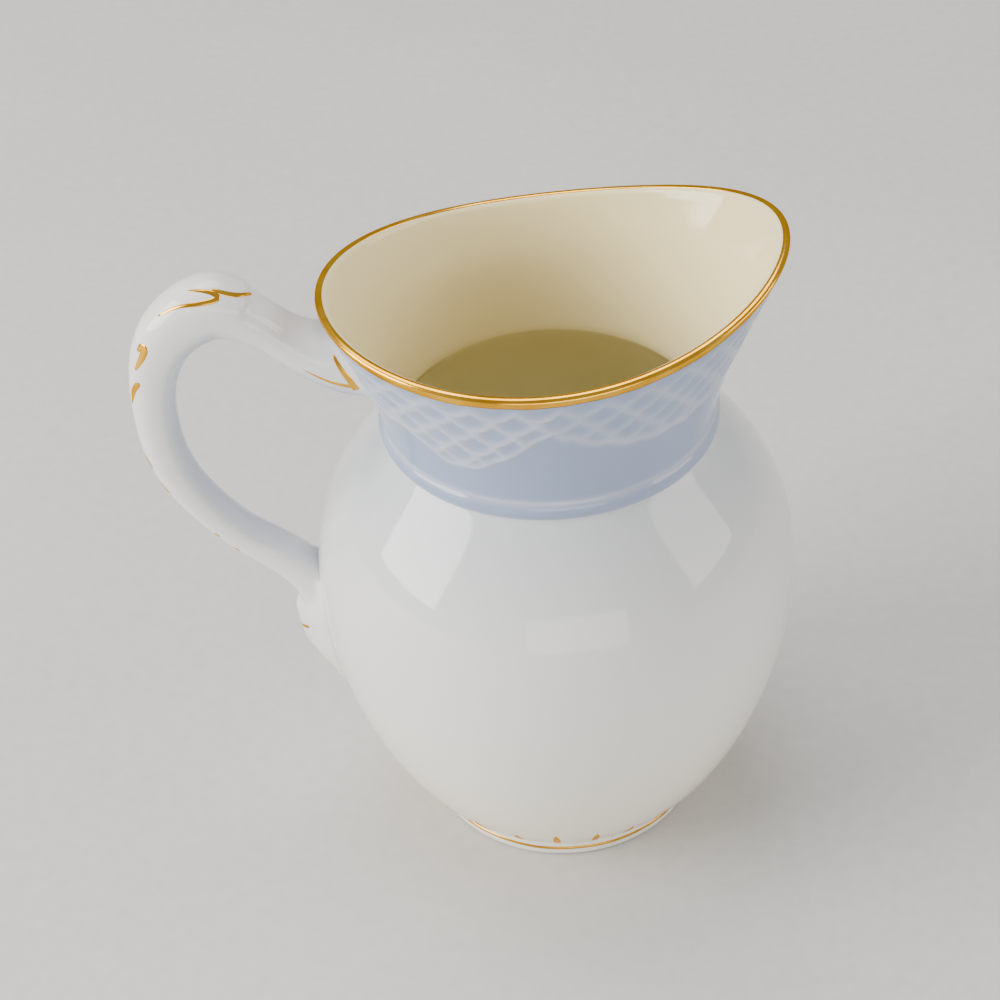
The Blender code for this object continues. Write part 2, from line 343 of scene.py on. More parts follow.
def lip_edge(turn):
    """The outer edge of the lip, seen as a ring of points."""
    x = LIP_SHIFT + LIP_HALF_LENGTH * np.cos(turn) + LIP_FULLNESS * np.cos(2 * turn)
    y = LIP_HALF_WIDTH * np.sin(turn) * (1 - LIP_TAPER * np.cos(turn))
    z = NECK_HEIGHT + LIP_RISE + LIP_TILT * np.cos(turn) + LIP_DIP * np.cos(2 * turn)
    return np.stack([x, y, z], -1)


def lip_outward(turn):
    """Level directions that point straight out of the lip's edge."""
    step = 1e-4
    along = lip_edge(turn + step) - lip_edge(turn - step)
    out = np.stack([along[..., 1], -along[..., 0], np.zeros_like(turn)], -1)
    return out / np.linalg.norm(out, axis=-1, keepdims=True)


def neck_points(turn, depth, inset):
    """Points of the neck: depth straight down from the lip's edge, inset into the wall."""
    edge = lip_edge(turn)
    share = np.clip(1 - depth / (edge[..., 2] - NECK_START), 0, 1)
    opened = (share ** FLARE)[..., None]
    inset = np.asarray(inset)[..., None]
    start = round_part(turn) * (NECK_RADIUS - inset)
    end = edge - lip_outward(turn) * inset
    points = start * (1 - opened) + end * opened
    points[..., 2] = edge[..., 2] - depth
    return points


def neck_height(turn):
    return lip_edge(turn)[..., 2] - NECK_START


spout_tip = lip_edge(np.array(0.0))
print("lip at the spout:", np.round(spout_tip / MM, 1), "mm from the axis and the floor")

# %% [markdown]
# ## The moulded scales
#
# Round the neck hang swags of small overlapping scales, pressed into the plaster mould that the jug is
# cast in. They could be a bump map, but then the silhouette and the shadows would stay smooth, so the
# points of the mesh are moved instead. Each scale is half an oval: its middle is dished, its lower rim
# is raised, and each row lies over the one below it. Towards the handle the rows stretch into ridges
# that run along the swag's edge.

# %% Where the swags end
# Turns are in degrees round from the spout. A swag's drop is a share of the neck's height.
Swag = namedtuple("Swag", "middle reach drop power")
SIDE_SWAG = Swag(236.0, 28, 0.41, 1.1)
FRONT_SWAG = Swag(303.0, 40, 0.28, 0.8)
SPOUT_SWAG = Swag(360.0, 18, 0.17, 0.8)
SWAG_MEETING = 264.0
SPOUT_MEETING = 343.0
SWAG_PEAK = 0.31  # share of the neck's height that is covered where two swags meet
HANDLE_COVER = 0.54  # share that is covered beside the handle
HANDLE_EASE = 20  # degrees in which the side swag rises to that


def hanging(turn, swag):
    """A swag's lower edge, lowest in its middle and back at the peak at its reach."""
    away = np.clip(np.abs(turn - swag.middle) / swag.reach, 0, 1)
    return SWAG_PEAK + swag.drop * np.maximum(np.cos(np.pi / 2 * away), 0) ** swag.power


def swag_edge(turn):
    """Share of the neck's height, from the lip down, that the scales cover. turn runs from 180 to 360."""
    toward_handle = np.clip((SIDE_SWAG.middle - turn) / HANDLE_EASE, 0, 1)
    extra = SWAG_PEAK + SIDE_SWAG.drop - HANDLE_COVER
    beside_handle = HANDLE_COVER + extra * np.cos(np.pi / 2 * toward_handle) ** 2
    edge = np.where(turn < SIDE_SWAG.middle, beside_handle, hanging(turn, SIDE_SWAG))
    edge = np.where(turn > SWAG_MEETING, hanging(turn, FRONT_SWAG), edge)
    return np.where(turn > SPOUT_MEETING, hanging(turn, SPOUT_SWAG), edge)


deepest = float(swag_edge(np.array(SIDE_SWAG.middle)))
print("the side swags cover", round(deepest, 2), "of the neck's height")


def step_up(value, low, high):
    """0 below low, 1 above high, easy in between."""
    share = np.clip((value - low) / (high - low), 0, 1)
    return share * share * (3 - 2 * share)


# %% Scales, ridges and the raised border
# Lengths in this cell are in millimetres.
SCALE_PITCH = 10.8  # degrees
SCALE_HALF_WIDTH = 0.57  # of a pitch, so that neighbours just overlap
SCALE_LENGTH = 1.36  # rows from a scale's middle to its tip
SCALE_TUCKED = -0.4  # rows: what is higher lies under the row above
ROW_PITCH = 2.8
FIRST_ROW = 1.2  # under the lip
SCALE_ROWS = 8
RIDGE_PITCH = 2.3
RIDGE_SHARE = 0.8  # of a scale's height
RIDGES_END = (204, 219)  # degrees, where ridges give way to scales
RELIEF = 0.38  # from the hollow of a scale to its rim
FAINT = 0.75  # strength of the worn front swags beside that of the side ones
SCALLOP = 0.55  # how far the border dips at each scale


def scale_rows(turn, drop):
    """Height of the overlapping scales, 0 in a hollow and 1 on a rim, at a drop below the lip's edge."""
    raised = np.zeros_like(drop)
    bare = np.ones(drop.shape, bool)
    for row in range(SCALE_ROWS):
        across = turn / SCALE_PITCH + 0.5 * (row % 2)
        across = across - np.round(across)
        down = (drop - FIRST_ROW) / ROW_PITCH - row
        reach = np.sqrt((across / SCALE_HALF_WIDTH) ** 2 + (down / SCALE_LENGTH) ** 2)
        here = bare & (reach < 1) & (down > SCALE_TUCKED)
        rim = 0.15 * reach + 0.85 * step_up(reach, 0.62, 0.92) - 0.45 * step_up(reach, 0.93, 1.0)
        raised[here] = rim[here]
        bare &= ~here
    return raised


def relief(turn_row, drop):
    """Height of the whole pattern. The far side mirrors the near one."""
    degrees = np.degrees(turn_row) % 360
    turn = np.where(degrees < 180, 360 - degrees, degrees)
    high = neck_height(turn_row) / MM
    scallops = SCALLOP * np.abs(np.sin(np.pi * turn / SCALE_PITCH)) - 0.3
    above = swag_edge(turn) * high + scallops - drop
    ridges = 0.5 + 0.5 * np.cos(2 * np.pi * above / RIDGE_PITCH)
    near_handle = 1 - step_up(turn, *RIDGES_END)
    pattern = scale_rows(turn, drop) * (1 - near_handle) + ridges * near_handle * RIDGE_SHARE
    in_front = turn > SWAG_MEETING
    strength = np.where(in_front, FAINT, 1.0)
    inside = step_up(above, 0.1, 0.6) * step_up(drop, 1.6, 3.4)
    spread = np.where(in_front, 0.75, 0.5)
    border = np.exp(-((above - 0.15) / spread) ** 2) * step_up(drop, 2.0, 4.0)
    return RELIEF * strength * np.maximum(pattern * inside, border)


def softened(grid, passes):
    """Evens out a grid that closes on itself sideways, as glaze does when it melts."""
    for _ in range(passes):
        grid = (np.roll(grid, 1, 1) + 2 * grid + np.roll(grid, -1, 1)) / 4
        grid[1:-1] = (grid[:-2] + 2 * grid[1:-1] + grid[2:]) / 4
    return grid


# %% [markdown]
# ## The jug's body
#
# The body is one skin: up the outside, over the rounded lip and down the inside. Rows of points are
# made as one big table and joined with quads, which is quick and gives clean, even faces. The rows sit
# closest on the neck, where the scales need them.

# %% Turning tables of points into pieces
def placed(name, mesh):
    """A piece in the scene that rides with the jug."""
    piece = bpy.data.objects.new(name, mesh)
    bpy.context.scene.collection.objects.link(piece)
    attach(piece, "root")
    return piece


def add_piece(name, points, faces, materials, choice=None):
    """A piece from points round the body's axis. choice gives each face its material."""
    mesh = bpy.data.meshes.new(name)
    flat = np.asarray(points, float).reshape(-1, 3) + (axis_x, 0, 0)
    mesh.from_pydata(flat.tolist(), [], [list(face) for face in faces])
    for material in materials:
        mesh.materials.append(material)
    if choice is not None:
        mesh.polygons.foreach_set("material_index", choice)
    mesh.shade_smooth()
    mesh.update()
    return placed(name, mesh)


def grid_faces(rows, columns, closed=False):
    """Quads between rows that each close on themselves. closed joins the last row to the first."""
    low = np.arange(rows if closed else rows - 1)[:, None]
    column = np.arange(columns)[None]
    after = (column + 1) % columns
    above = (low + 1) % rows
    corners = [low * columns + column, low * columns + after]
    corners += [above * columns + after, above * columns + column]
    return np.stack(np.broadcast_arrays(*corners), -1).reshape(-1, 4)


def turned(outline, columns):
    """Rings for an outline of (radius, height) pairs."""
    turn = np.arange(columns) * 2 * np.pi / columns
    outline = np.asarray(outline, float)
    rings = round_part(turn)[None] * outline[:, :1, None]
    rings[..., 2] += outline[:, 1:2]
    return rings


# %% Rows of the outside
COLUMNS = 480
BELLY_ROWS = 34
BEAD_ROWS = 9
BEAD_FIRST = 0.08  # share of the bead's height at its first row, which leaves a crisp crease under it
NECK_ROWS = 90
turns = np.arange(COLUMNS) * 2 * np.pi / COLUMNS


def eased(count):
    """Shares from 0 to 1 that lie closer together at both ends."""
    return 0.5 - 0.5 * np.cos(np.pi * np.arange(count) / (count - 1))


belly_rows = SEAT_HEIGHT + (NECK_HEIGHT - SEAT_HEIGHT) * eased(BELLY_ROWS)
belly_grid = turned(np.stack([belly_radius(belly_rows), belly_rows], -1), COLUMNS)
bead_rows = NECK_HEIGHT + BEAD_HEIGHT * np.linspace(BEAD_FIRST, 1, BEAD_ROWS)
bead_grid = turned(np.stack([bead_radius(bead_rows), bead_rows], -1), COLUMNS)


def neck_drops(shares):
    """Depth under the lip's edge of each row of the neck: share 0 at the bead, 1 at the rounded lip."""
    return (neck_height(turns)[None] - LIP_ROUND) * (1 - shares[:, None]) + LIP_ROUND


neck_drop = neck_drops(np.linspace(0, 1, NECK_ROWS + 1)[1:])
neck_turn = np.broadcast_to(turns, neck_drop.shape)
neck_grid = neck_points(neck_turn, neck_drop, 0.0)
neck_relief = softened(relief(neck_turn, neck_drop / MM), 1)
print("pattern stands up to", round(float(neck_relief.max()), 2), "mm proud of the neck")


def grid_normals(grid):
    """Directions that point out of a grid whose rows go up and whose columns go round."""
    sideways = np.roll(grid, -1, 1) - np.roll(grid, 1, 1)
    upward = np.gradient(grid, axis=0)
    out = np.cross(sideways, upward)
    return out / np.linalg.norm(out, axis=-1, keepdims=True)


neck_grid = neck_grid + grid_normals(neck_grid) * neck_relief[..., None] * MM

# %% Rows of the lip and the inside
def lip_section(angle):
    """Depth and inset round the top of the lip, from its outside at 0 to its inside at pi."""
    inset = LIP_THICKNESS / 2 * (1 - np.cos(angle))
    return LIP_ROUND * (1 - np.sin(angle)), inset


def lip_rows(angles, lift=0.0):
    """Rings round the top of the lip, lift off it."""
    rows = []
    for angle in angles:
        depth, inset = lip_section(angle)
        rows.append(neck_points(turns, depth - lift * np.sin(angle), inset - lift * np.cos(angle)))
    return np.stack(rows)


LIP_ROWS = 10
INNER_NECK_ROWS = 17
THROAT_ROWS = 3
INNER_BELLY_ROWS = 25
DISH_ROWS = 7
DISH_DEPTH = 0.4 * MM  # how far the floor inside sags
LIP_THINNED = 12 * MM  # how far down the wall reaches its full thickness
lip_grid = lip_rows(np.linspace(0, np.pi, LIP_ROWS + 1)[1:])
inner_drop = neck_drops(np.linspace(1, 0.0, INNER_NECK_ROWS + 1)[1:])
inner_inset = LIP_THICKNESS + (WALL - LIP_THICKNESS) * step_up(inner_drop, LIP_ROUND, LIP_THINNED)
inner_neck = neck_points(np.broadcast_to(turns, inner_drop.shape), inner_drop, inner_inset)
throat_z = np.linspace(NECK_START, NECK_HEIGHT, THROAT_ROWS + 1)[1:]
throat = turned([(NECK_RADIUS - WALL - WALL_SPARE, z) for z in throat_z], COLUMNS)
inner_z = NECK_HEIGHT + (SEAT_HEIGHT + WALL - NECK_HEIGHT) * eased(INNER_BELLY_ROWS + 1)[1:]
inner_radius = np.maximum(belly_radius(inner_z) - WALL - WALL_SPARE, 0)
inner_belly = turned(np.stack([inner_radius, inner_z], -1), COLUMNS)
dish_share = np.linspace(1, 0, DISH_ROWS + 2)[1:-1]
dish = [(inner_radius[-1] * share, inner_z[-1] - DISH_DEPTH * (1 - share * share)) for share in dish_share]
dish_grid = turned(dish, COLUMNS)
print("inside, the belly is", round(2 * float(inner_radius.max()) / MM, 1), "mm wide")

# %% The body's skin
HOLLOW_UNDER = 0.6 * MM  # how far the middle of the underside rises
OUTSIDE, INSIDE = 0, 1  # places of the two glazes in the list of materials
under_shares = (0.2, 0.5, 0.8, 0.97)
under = [(SEAT_RADIUS * share, SEAT_HEIGHT + HOLLOW_UNDER * (1 - share * share)) for share in under_shares]
underside = turned(under, COLUMNS)
outer_grids = [underside, belly_grid, bead_grid, neck_grid]
inner_grids = [inner_neck, throat, inner_belly, dish_grid]
body_grid = np.concatenate([*outer_grids, lip_grid, *inner_grids])
first_neck = len(underside) + BELLY_ROWS + BEAD_ROWS
crest = first_neck + NECK_ROWS + LIP_ROWS // 2  # the row on top of the lip
quads = grid_faces(len(body_grid), COLUMNS)
choice = np.where(np.arange(len(quads)) // COLUMNS >= crest, INSIDE, OUTSIDE)
last_row = (len(body_grid) - 1) * COLUMNS
caps = [list(range(COLUMNS))[::-1], list(range(last_row, last_row + COLUMNS))]
choice = np.concatenate([choice, [OUTSIDE, INSIDE]]).astype(np.int32)
jug = add_piece("jug_body_glazed", body_grid, quads.tolist() + caps, [glaze, ivory], choice)
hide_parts("jug_body")
print("body:", len(jug.data.polygons), "faces")

# %% [markdown]
# ### Painting how thick the glaze lies, and a highlight
#
# A number on every point of a mesh is called an attribute, and the glaze reads this one by name. It
# grows with height up the belly and sits highest in the hollows of the scales. Along the bead's upper
# edge it drops and leaves a pale line, which is a painted highlight.

# %% Glaze thickness and a painted highlight
def paint_pool_and_light(piece, values):
    """Paints the share of blue at each point of a piece: how thick the glaze lies, and painted light."""
    attribute = piece.data.attributes.new("glaze_pool_and_painted_light", "FLOAT", "POINT")
    attribute.data.foreach_set("value", values.astype(np.float32).ravel())


def glaze_pool_and_highlight(z, raised):
    """Share of blue in the glaze. raised is the pattern's height in millimetres."""
    belly = 0.03 + 0.27 * step_up(z, 45 * MM, 87 * MM)
    # A painted highlight: a pale line along the bead's upper edge.
    bead_highlight = np.exp(-(((z - NECK_START) / (0.5 * MM)) ** 2))
    neck = 0.76 - 0.80 * raised - 0.30 * bead_highlight
    return np.where(z > NECK_HEIGHT, neck, belly)


raised_all = np.zeros(body_grid.shape[:2])
raised_all[first_neck:first_neck + NECK_ROWS] = neck_relief
glaze_pool_and_painted_light = softened(glaze_pool_and_highlight(body_grid[..., 2], raised_all), 2)
paint_pool_and_light(jug, glaze_pool_and_painted_light)
print("glaze share from", round(float(glaze_pool_and_painted_light.min()), 2), "to", round(float(glaze_pool_and_painted_light.max()), 2))

# %% [markdown]
# ## The foot ring and its gold line
#
# The foot is turned on the wheel: a low ring with a rounded edge that the jug stands on. Its outline is
# a short list of radii and heights, spun round the axis. A thin gold line runs round it.

# %% Foot ring
FOOT_OUT = foot_high.x - axis_x
FOOT_BORE = 22.2 * MM
FOOT_TOP = foot_high.z
FOOT_COLUMNS = 240
EDGE_IN, EDGE_UP = 1.3 * MM, 1.0 * MM  # how far the rounded bottom edge reaches in and up
EDGE_STEPS = 6


def foot_outline():
    """Radius and height of each point of the ring's section, from the table up the outside and back."""
    rounded = []
    for k in range(EDGE_STEPS + 1):
        angle = math.pi / 2 * k / EDGE_STEPS
        radius = FOOT_OUT - EDGE_IN * (1 - math.sin(angle))
        rounded.append((radius, EDGE_UP * (1 - math.cos(angle))))
    top = [(FOOT_OUT, 0.0020), (FOOT_OUT - 0.0002, 0.0029), (FOOT_OUT - 0.0006, FOOT_TOP)]
    bore = [(FOOT_BORE + 0.0002, FOOT_TOP), (FOOT_BORE, 0.0026), (FOOT_BORE, 0.0009)]
    inner_round = [(FOOT_BORE + 0.0003, 0.0003), (FOOT_BORE + 0.0009, 0.0)]
    return rounded + top + bore + inner_round


foot_grid = turned(foot_outline(), FOOT_COLUMNS)
foot_faces = grid_faces(len(foot_grid), FOOT_COLUMNS, True)
foot = add_piece("foot_ring_turned", foot_grid, foot_faces, [foot_clay])
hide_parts("foot_ring")

# %% Gold line on the foot
LINE_COLUMNS = 360
LINE_HEIGHT = 2.1 * MM
LINE_SECTION = ((-0.20, -0.3), (0.02, -0.3), (0.06, 0), (0.02, 0.3), (-0.20, 0.3))  # out and up, in mm


def foot_line():
    """A gold line round the foot, a few hundredths of a millimetre thick, by an almost steady hand."""
    turn = np.arange(LINE_COLUMNS) * 2 * np.pi / LINE_COLUMNS
    sway = 0.05 * MM * np.sin(3 * turn + 1) + 0.04 * MM * np.sin(11 * turn)
    rows = []
    for out, up in LINE_SECTION:
        ring = round_part(turn) * (FOOT_OUT + out * MM)
        ring[:, 2] = LINE_HEIGHT + up * MM + sway
        rows.append(ring)
    return np.stack(rows)


line_grid = foot_line()
line_faces = grid_faces(len(LINE_SECTION), LINE_COLUMNS, True)
line = add_piece("foot_gold_line", line_grid, line_faces, [gold])
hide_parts("foot_gilding")
print("foot ring", round(2 * FOOT_OUT / MM, 1), "mm across")

# %% [markdown]
# ## The gold on the lip
#
# The painter turns the jug on a wheel and holds a loaded brush to its edge. The band covers the rounded
# top of the lip and runs a little way down the outside, with a lower edge that wavers. It is a thin
# shell that follows the lip's own section, lifted off it by the thickness of the gold.

# %% Gold band
GOLD_LIFT = 0.06 * MM
BAND_DEPTH = 1.75 * MM
BAND_TAPER = 0.25 * MM  # width over which its lower edge thins out
BAND_FULL, BAND_END = 2.0, 2.12  # how far round the lip's half circle of pi it is thick, and reaches


def gold_band():
    """The band's closed section at every turn: up the outside, over the lip and back inside the wall."""
    waver = 0.09 * MM * np.sin(5 * turns + 0.6) + 0.06 * MM * np.sin(17 * turns)
    low = BAND_DEPTH + waver + 0.03 * MM * np.sin(41 * turns)
    outside = [neck_points(turns, low, -0.1 * GOLD_LIFT), neck_points(turns, low - BAND_TAPER, -GOLD_LIFT)]
    over = lip_rows(np.linspace(0, BAND_FULL, 10), GOLD_LIFT)
    edge = lip_rows([BAND_END], 0.1 * GOLD_LIFT)
    back = lip_rows(np.linspace(BAND_END, 0, 5), -2 * GOLD_LIFT)
    bottom = neck_points(turns, low, 2 * GOLD_LIFT)
    return np.concatenate([np.stack(outside), over, edge, back, bottom[None]])


band_grid = gold_band()
band_faces = grid_faces(len(band_grid), COLUMNS, True)
band = add_piece("rim_gold_band", band_grid, band_faces, [gold])
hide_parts("rim_gilding")
print("gold band reaches", round(BAND_DEPTH / MM, 2), "mm down the lip")

# %% [markdown]
# ## The handle
#
# The handle is pulled or cast on its own, then stuck on with slip. Its shape is a path through a few
# knots. At each knot it has a thickness in the plane of the loop and one across it. Where it meets the
# jug it spreads into leaves, above under the lip and below on the belly. The path's pieces are Bezier
# curves: a direction and two pulls at each knot bend the line.

# %% The handle's knots
# x and z, depth and width in millimetres, heading in degrees up from +X, pulls as shares of the run.
Knot = namedtuple("Knot", "x z heading pull_in pull_out depth width")
KNOTS = [
    Knot(-43.6, 36.0, 100, 0.00, 0.33, 3.6, 7.0),
    Knot(-45.0, 46.0, 76, 0.33, 0.44, 7.6, 10.6),
    Knot(-58.6, 67.9, 130, 0.27, 0.43, 6.5, 8.0),
    Knot(-69.5, 94.6, 90, 0.37, 0.36, 7.7, 8.2),
    Knot(-57.3, 116.4, 15, 0.41, 0.17, 10.6, 10.8),
    Knot(-47.1, 111.0, -44, 0.30, 0.38, 7.0, 10.5),
    Knot(-25.0, 106.3, 30, 0.41, 0.00, 15.0, 17.0),
]
RUN_STEPS = 22
SIDES = 48


def heading(degrees):
    """A direction in the plane of the loop."""
    return Vector((math.cos(math.radians(degrees)), 0, math.sin(math.radians(degrees))))


def handle_line():
    """Points along the middle of the handle, with the thickness both ways at each."""
    line = []
    for low, high in zip(KNOTS, KNOTS[1:]):
        start = Vector((low.x, 0, low.z)) * MM
        end = Vector((high.x, 0, high.z)) * MM
        reach = (end - start).length
        leave = start + heading(low.heading) * reach * low.pull_out
        arrive = end - heading(high.heading) * reach * high.pull_in
        points = interpolate_bezier(start, leave, arrive, end, RUN_STEPS + 1)
        for k in range(RUN_STEPS + (high is KNOTS[-1])):
            share = k / RUN_STEPS
            ease = share * share * (3 - 2 * share)
            depth = low.depth + (high.depth - low.depth) * ease
            width = low.width + (high.width - low.width) * ease
            line.append((np.array(points[k]), depth * MM, width * MM))
    return line


handle_path = handle_line()
path_points = np.stack([point for point, _, _ in handle_path])
path_length = np.linalg.norm(np.diff(path_points, axis=0), axis=1).sum()
print("handle's middle line is", round(float(path_length) / MM), "mm long")

# %% Rings round the path
THUMB_LEAF = (64, 99)  # rings between which the thumb rest's leaf lies
THUMB_LEAF_PROUD = 1.1 * MM
OUTER_POWER, INNER_POWER, SIDE_POWER = 0.96, 0.66, 0.90  # under 1, a face of the section is flatter


def section(depth, width, leaf):
    """Half round outside and flatter inside, as (outward, across) pairs. leaf thickens the outer face."""
    angle = np.arange(SIDES) * 2 * np.pi / SIDES
    power = np.where(np.cos(angle) > 0, OUTER_POWER, INNER_POWER)
    outward = np.sign(np.cos(angle)) * np.abs(np.cos(angle)) ** power * depth / 2
    across = np.sign(np.sin(angle)) * np.abs(np.sin(angle)) ** SIDE_POWER * width / 2
    outward += leaf * step_up(np.cos(angle), 0.05, 0.25)
    return outward, across


def handle_rings():
    directions = np.gradient(path_points, axis=0)
    directions /= np.linalg.norm(directions, axis=1, keepdims=True)
    rings = []
    for k, (point, depth, width) in enumerate(handle_path):
        share = (k - THUMB_LEAF[0]) / (THUMB_LEAF[1] - THUMB_LEAF[0])
        leaf = THUMB_LEAF_PROUD * share ** 1.2 if 0 < share < 1 else 0.0
        outward, across = section(depth, width, leaf)
        out_way = np.array([-directions[k, 2], 0, directions[k, 0]])
        rings.append(point + outward[:, None] * out_way + across[:, None] * np.array([0, 1, 0]))
    return np.stack(rings)


loop_rings = handle_rings()

# %% [markdown]
# ### The leaf that clasps the belly
#
# Below, the handle ends in a broad leaf laid against the belly. It is a second closed shell: its outer
# face follows the belly at a height that swells along the middle and lifts again at the leaf's rim, and
# its back lies inside the belly's wall, out of sight.

# %% Leaf shell
LEAF_TOP = 57 * MM
LEAF_TIP = 25.8 * MM
LEAF_HALF_WIDTH = 9.6 * MM
LEAF_THIN, LEAF_THICK = 0.3 * MM, 5.2 * MM  # at its rim, and added along its middle
LEAF_RIM = 0.75 * MM
LEAF_VEINS = 0.25 * MM
LEAF_SUNK = 1.2 * MM  # how deep in the wall its back lies


def leaf_width(z):
    """Half the leaf's width at a height: a rounded shoulder, then a long taper to the tip."""
    share = np.clip((z - LEAF_TIP) / (LEAF_TOP - LEAF_TIP), 0, 1)
    narrowed = 1 - 0.35 * step_up(z, 50 * MM, LEAF_TOP)
    return LEAF_HALF_WIDTH * narrowed * np.sin(np.pi / 2 * np.clip(share / 0.62, 0, 1)) ** 0.8


def leaf_swell(z):
    """Thickness along the leaf's middle."""
    rise = step_up(z, 25 * MM, 41 * MM)
    fall = 1 - 0.75 * step_up(z, 47 * MM, LEAF_TOP)
    return LEAF_THIN + LEAF_THICK * rise * fall


def leaf_shell(turn, radius, z):
    return np.stack([radius * np.cos(turn), radius * np.sin(turn), z + 0 * turn], -1)


def leaf_grid():
    """The leaf's face and its back, as rows from the tip up and points from rim to rim."""
    z = np.linspace(LEAF_TIP, LEAF_TOP, 60)[:, None]
    across = np.linspace(-1, 1, 41)[None]
    side = across * leaf_width(z)
    radius = belly_radius(z)
    turn = np.pi + np.arcsin(side / radius)
    hump = leaf_swell(z) * (1 - np.abs(across) ** 1.3) ** 1.2
    rim = LEAF_RIM * np.exp(-((np.abs(across) - 0.90) / 0.07) ** 2)
    veins = LEAF_VEINS * np.cos(across * 14) * step_up(np.abs(across), 0.2, 0.45)
    edge = step_up(1 - np.abs(across), 0, 0.05)
    fade = step_up(z, LEAF_TIP, LEAF_TIP + 4 * MM) * (1 - step_up(z, LEAF_TOP - 6 * MM, LEAF_TOP))
    proud = (hump + rim * fade + veins * fade) * edge
    front = leaf_shell(turn, radius + proud, z)
    back = leaf_shell(turn, radius - LEAF_SUNK + 0 * across, z)
    return front, back


print("leaf", round((LEAF_TOP - LEAF_TIP) / MM), "mm high,", round(2 * LEAF_HALF_WIDTH / MM), "mm wide")


# %% Joining loop and leaf
def tube_mesh(shape, rings):
    """Adds rings as one closed tube."""
    rows = [[shape.verts.new(point) for point in ring] for ring in rings]
    for below, above in zip(rows, rows[1:]):
        for k, vert in enumerate(below):
            after = (k + 1) % len(below)
            shape.faces.new((vert, below[after], above[after], above[k]))
    shape.faces.new(rows[0][::-1])
    shape.faces.new(rows[-1])


def tubes_to_mesh(name, tubes):
    """One mesh that holds each list of rings as a closed tube."""
    shape = bmesh.new()
    for rings in tubes:
        tube_mesh(shape, rings)
    bmesh.ops.recalc_face_normals(shape, faces=shape.faces)
    mesh = bpy.data.meshes.new(name)
    shape.to_mesh(mesh)
    shape.free()
    return mesh


def melted(mesh, voxel, smoothing):
    """One even skin round all the shells of a mesh, with the joins between them smoothed."""
    rough = bpy.data.objects.new("handle_rough", mesh)
    bpy.context.scene.collection.objects.link(rough)
    remesh = rough.modifiers.new("one skin", "REMESH")
    remesh.mode = "VOXEL"
    remesh.voxel_size = voxel
    soften = rough.modifiers.new("soften", "SMOOTH")
    soften.factor = 0.5
    soften.iterations = smoothing
    graph = bpy.context.evaluated_depsgraph_get()
    made = bpy.data.meshes.new_from_object(rough.evaluated_get(graph))
    bpy.data.objects.remove(rough)
    return made


leaf_rings = [np.concatenate([face, behind[::-1]]) for face, behind in zip(*leaf_grid())]
SKIN_STEP = 0.38 * MM
SKIN_SMOOTHING = 10
handle_skin = melted(tubes_to_mesh("handle_rough", [loop_rings, leaf_rings]), SKIN_STEP, SKIN_SMOOTHING)
print("handle's skin:", len(handle_skin.polygons), "faces")

# %% [markdown]
# ### Seating the handle on the jug
#
# Slip squeezed out of the joint is wiped round with a finger, so the handle flares softly where it
# lands. Points close to the jug are pushed away from the handle's middle line, more the closer they
# are. Points inside the wall are brought up to just under the surface, so that nothing shows inside the
# jug. The inner face of the loop, which faces the jug, and the part near the jug are painted bluer, as
# painted shade; elsewhere the handle is white.

# %% Seating
SEAT_REACH = 2.4 * MM
SEAT_FLARE = 0.5 * MM
SUNK = 0.9 * MM


def jug_radius(points):
    """Radius of the jug's outside at the turn and height of each point."""
    turn = np.arctan2(points[:, 1], points[:, 0])
    z = points[:, 2]
    edge = lip_edge(turn)[:, 2]
    neck = neck_points(turn, np.clip(edge - z, 0, None), 0.0)
    neck_out = np.hypot(neck[:, 0], neck[:, 1])
    return np.where(z < NECK_HEIGHT, belly_radius(z), np.where(z < NECK_START, bead_radius(z), neck_out))


places = np.arange(len(path_points))
steps = np.linspace(0, len(path_points) - 1, 10 * len(path_points))
close_path = np.column_stack([np.interp(steps, places, values) for values in path_points.T])
path_tree = KDTree(len(close_path))
for index, point in enumerate(close_path):
    path_tree.insert(point, index)
path_tree.balance()


def nearest_on_path(points):
    """The place on the handle's middle line that is nearest to each point."""
    return np.array([path_tree.find(point)[0] for point in points])


def seated(points):
    """Points of the handle's skin, flared where they near the jug and lifted to just under its surface."""
    radius = np.hypot(points[:, 0], points[:, 1])
    above = radius - jug_radius(points)
    level = points[:, :2] / radius[:, None]
    out = np.column_stack([level, np.zeros(len(points))])
    spread = points - nearest_on_path(points)
    spread -= (spread * out).sum(axis=1, keepdims=True) * out
    spread /= np.linalg.norm(spread, axis=1, keepdims=True) + 1e-9  # never divides by 0
    close = np.clip(1 - above / SEAT_REACH, 0, 1) ** 2
    moved = points + spread * (SEAT_FLARE * close)[:, None]
    limit = jug_radius(moved) - SUNK
    now = np.hypot(moved[:, 0], moved[:, 1])
    moved[:, :2] *= (np.maximum(now, limit) / now)[:, None]
    return moved


skin_points = seated(np.array([vert.co for vert in handle_skin.vertices]))
skin_faces = [list(face.vertices) for face in handle_skin.polygons]
handle = add_piece("handle_glazed", skin_points, skin_faces, [glaze])
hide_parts("handle")

# %% Painted shade: blue on the inner face of the loop
OPENING = (-45 * MM, 0, 88 * MM)  # the middle of the loop's opening
skin_away = np.linalg.norm(skin_points - OPENING, axis=1)
path_away = np.linalg.norm(nearest_on_path(skin_points) - OPENING, axis=1)
# Painted shade: more blue where the loop faces the jug and near the jug.
inner_face = step_up(path_away - skin_away, -0.5 * MM, 3.5 * MM)
near_jug = step_up(skin_points[:, 0], -50 * MM, -34 * MM)
paint_pool_and_light(handle, 0.05 + 0.45 * inner_face + 0.20 * near_jug)
print("handle reaches", round(-float(skin_points[:, 0].min()) / MM, 1), "mm behind the axis")

